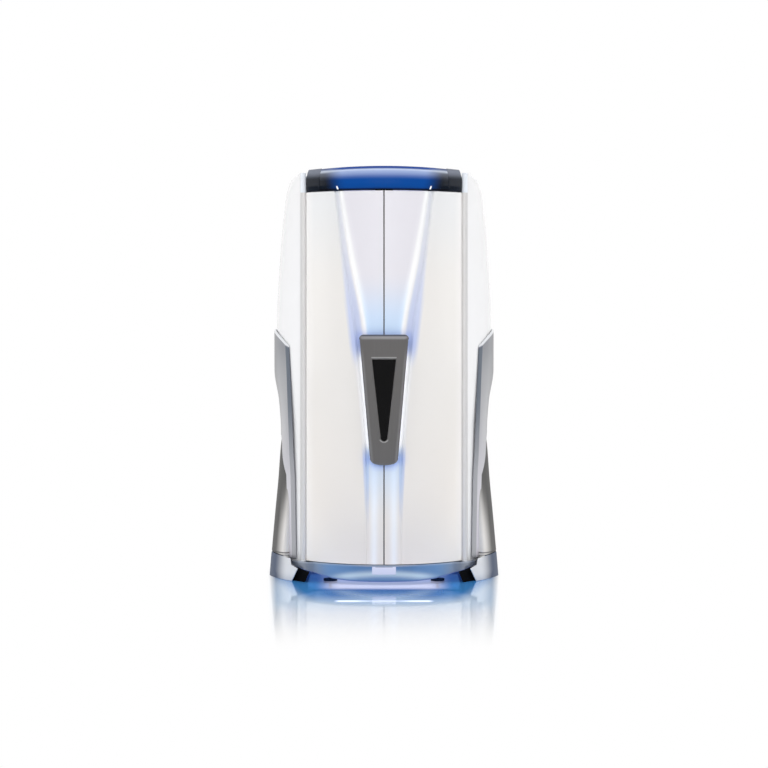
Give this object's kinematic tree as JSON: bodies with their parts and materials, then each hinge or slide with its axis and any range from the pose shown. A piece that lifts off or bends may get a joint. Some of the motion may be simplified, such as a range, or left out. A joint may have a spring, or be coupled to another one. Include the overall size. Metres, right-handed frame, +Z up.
{
  "type": "vertical tanning booth",
  "caption": "Round upright tanning cabin with two curved hinged doors, a large pull plate, silver side armour, flared feet and a blue canopy.",
  "frame": {"origin": "on the floor, at the middle of the booth's bounding box", "axes": "+Z up, the doors face -Y, +X towards the right door seen from the front"},
  "size_m": [1.3558, 1.384, 2.4],
  "materials": {
    "door_white": "gloss",
    "cover_white": "gloss",
    "armour_silver": "satin metallic paint",
    "leg_silver": "satin metallic paint",
    "foot_silver": "satin metallic paint",
    "skirt_blue_silver": "satin metallic paint",
    "frame_steel": "powder coat",
    "tray_aluminium": "bright rolled",
    "door_frame_aluminium": "satin anodised",
    "roof_grey": "powder coat",
    "acrylic_clear": "clear",
    "lamp_glass": "white tube",
    "visor_blue": "gloss",
    "cap_dark": "gloss",
    "handle_metal": "satin cast",
    "inset_black": "gloss",
    "lens_clear": "frosted",
    "black_plastic": "matte",
    "rubber_black": "matte",
    "mat_grey": "ribbed",
    "floor_aluminium": "brushed",
    "column_white": "white coat",
    "screen_black": "gloss",
    "button_green": "gloss",
    "button_red": "gloss",
    "button_grey": "gloss",
    "zinc_steel": "zinc plated",
    "chrome": "polished",
    "light_bar": "diffuser",
    "ballast_grey": "enamel"
  },
  "bodies": {
    "booth": {"base_frame": "frame_steel", "levelling_feet": "zinc_steel", "floor_plate": "floor_aluminium", "floor_mat": "mat_grey", "base_skirt": "skirt_blue_silver", "threshold_lens": "lens_clear", "foot_blocks": "black_plastic", "feet_right": "foot_silver", "feet_left": "foot_silver", "leg_covers_right": "leg_silver", "leg_covers_left": "leg_silver", "wing_right": "armour_silver", "wing_left": "armour_silver", "side_cover_right": "cover_white", "side_cover_left": "cover_white", "rear_cover": "cover_white", "service_panel": "cover_white", "panel_screws": "zinc_steel", "inlet_gland": "black_plastic", "posts": "frame_steel", "top_frame": "frame_steel", "ceiling_panel": "column_white", "roof_cover": "roof_grey", "exhaust_spigot": "zinc_steel", "exhaust_fan_housing": "black_plastic", "breeze_fan_housing": "black_plastic", "canopy_visor": "visor_blue", "canopy_cap_right": "cap_dark", "canopy_cap_left": "cap_dark", "canopy_light": "light_bar", "hinge_bearings": "zinc_steel", "door_magnets": "black_plastic", "lamp_tray_right": "tray_aluminium", "lamp_tray_left": "tray_aluminium", "side_lamps": "lamp_glass", "side_shield_right": "acrylic_clear", "side_shield_left": "acrylic_clear", "control_column": "column_white", "display": "screen_black", "hand_grips": "chrome", "ballasts": "ballast_grey", "control_box": "black_plastic"},
    "right_door": {"door_shell_right": "door_white", "door_frame_right": "door_frame_aluminium", "door_lamps_right": "lamp_glass", "door_shield_right": "acrylic_clear", "door_seal_right": "rubber_black", "handle_plate": "handle_metal", "handle_inset": "inset_black"},
    "left_door": {"door_shell_left": "door_white", "door_frame_left": "door_frame_aluminium", "door_lamps_left": "lamp_glass", "door_shield_left": "acrylic_clear", "door_seal_left": "rubber_black"},
    "exhaust_impeller": {"exhaust_impeller": "black_plastic"},
    "breeze_impeller": {"breeze_impeller": "black_plastic"},
    "start_button": {"button_start": "button_green"},
    "stop_button": {"button_stop": "button_red"},
    "fan_button": {"button_fan": "button_grey"},
    "light_button": {"button_light": "button_grey"}
  },
  "joints": [
    {"name": "right_door_hinge", "type": "hinge", "parent": "booth", "child": "right_door", "pos_m": [0.46793, -0.45504, 1.185], "axis": [0, 0, 1], "range_deg": [0, 100]},
    {"name": "left_door_hinge", "type": "hinge", "parent": "booth", "child": "left_door", "pos_m": [-0.46793, -0.45504, 1.185], "axis": [0, 0, 1], "range_deg": [-100, 0]},
    {"name": "exhaust_spin", "type": "hinge", "parent": "booth", "child": "exhaust_impeller", "pos_m": [0, 0.21, 2.295], "axis": [0, 0, 1], "continuous": true},
    {"name": "breeze_spin", "type": "hinge", "parent": "booth", "child": "breeze_impeller", "pos_m": [0, -0.18, 2.295], "axis": [0, 0, 1], "continuous": true},
    {"name": "start_button_press", "type": "slide", "parent": "booth", "child": "start_button", "axis": [0, 1, 0], "range_m": [0, 0.0025], "stiffness_N_per_m": 400},
    {"name": "stop_button_press", "type": "slide", "parent": "booth", "child": "stop_button", "axis": [0, 1, 0], "range_m": [0, 0.0025], "stiffness_N_per_m": 400},
    {"name": "fan_button_press", "type": "slide", "parent": "booth", "child": "fan_button", "axis": [0, 1, 0], "range_m": [0, 0.0025], "stiffness_N_per_m": 400},
    {"name": "light_button_press", "type": "slide", "parent": "booth", "child": "light_button", "axis": [0, 1, 0], "range_m": [0, 0.0025], "stiffness_N_per_m": 400}
  ],
  "couplings": [
    {"joint": "left_door_hinge", "follows": "right_door_hinge", "ratio": -1}
  ]
}
